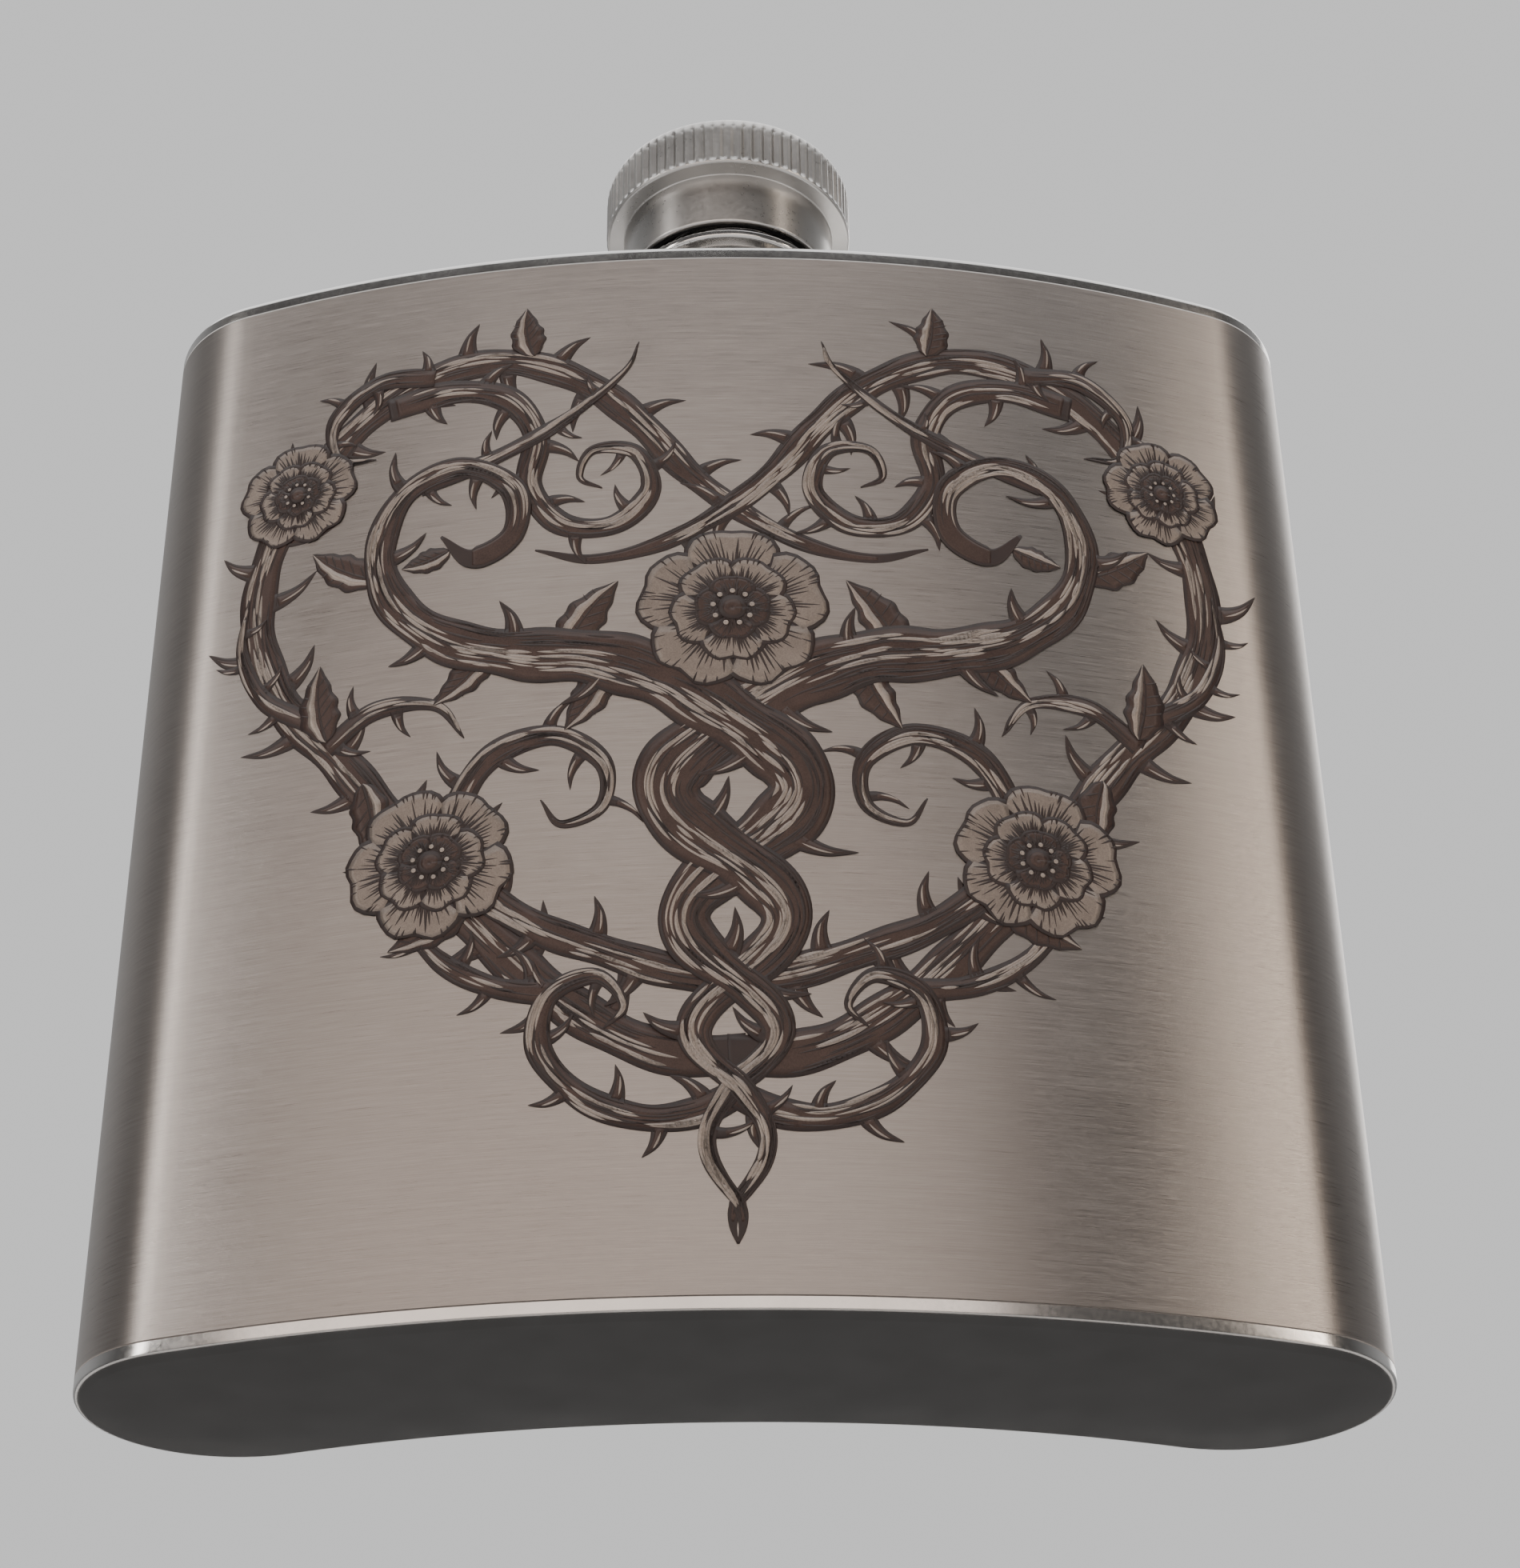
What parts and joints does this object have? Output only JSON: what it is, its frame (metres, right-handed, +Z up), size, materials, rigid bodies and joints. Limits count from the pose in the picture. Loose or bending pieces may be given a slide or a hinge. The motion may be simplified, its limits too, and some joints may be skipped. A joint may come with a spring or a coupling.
{
  "type": "hip flask",
  "caption": "Curved stainless pocket flask with a screw cap held captive by a hinged lever on a swivelling neck collar.",
  "frame": {"origin": "centre of the flat base, under the axis of the neck", "axes": "+Z up the neck, -Y out of the outward-curved front face, +X to the right seen from the front"},
  "size_m": [0.095, 0.028, 0.1112],
  "materials": {
    "body_brushed": "fine brushing running round the body",
    "plate_polished": "polished steel rims",
    "neck_steel": "turned and polished steel",
    "fitting_polished": "bright polished steel",
    "lever_steel": "satin steel strip",
    "cap_steel": "satin steel with a ribbed, slightly grainy head",
    "washer_plastic": "natural white plastic",
    "liner_plastic": "black moulded plastic",
    "gasket_rubber": "off-white silicone disc"
  },
  "bodies": {
    "flask": {"body_shell": "body_brushed", "base_plate": "plate_polished", "top_plate": "plate_polished", "neck": "neck_steel"},
    "collar": {"collar_ring": "fitting_polished"},
    "pin": {"hinge_pin": "fitting_polished"},
    "lever": {"lever": "lever_steel", "rivet": "fitting_polished", "lever_washer": "washer_plastic"},
    "cap": {"cap_shell": "cap_steel", "backing_washer": "lever_steel", "cap_liner": "liner_plastic", "cap_gasket": "gasket_rubber"}
  },
  "joints": [
    {"name": "collar_swivel", "type": "hinge", "parent": "flask", "child": "collar", "pos_m": [0, 0, 0.09735], "axis": [0, 0, 1], "continuous": true},
    {"name": "cap_flip", "type": "hinge", "parent": "collar", "child": "pin", "pos_m": [0, 0.013, 0.0995], "axis": [-1, 0, 0], "range_deg": [0, 110]},
    {"name": "cap_lift", "type": "slide", "parent": "pin", "child": "lever", "axis": [0, 0, 1], "range_m": [0, 0.003]},
    {"name": "cap_spin", "type": "hinge", "parent": "lever", "child": "cap", "pos_m": [0, 0, 0.105], "axis": [0, 0, 1], "range_deg": [0, 540]}
  ],
  "couplings": [
    {"joint": "cap_lift", "follows": "cap_spin", "m_per_rad": 0.00031831}
  ]
}
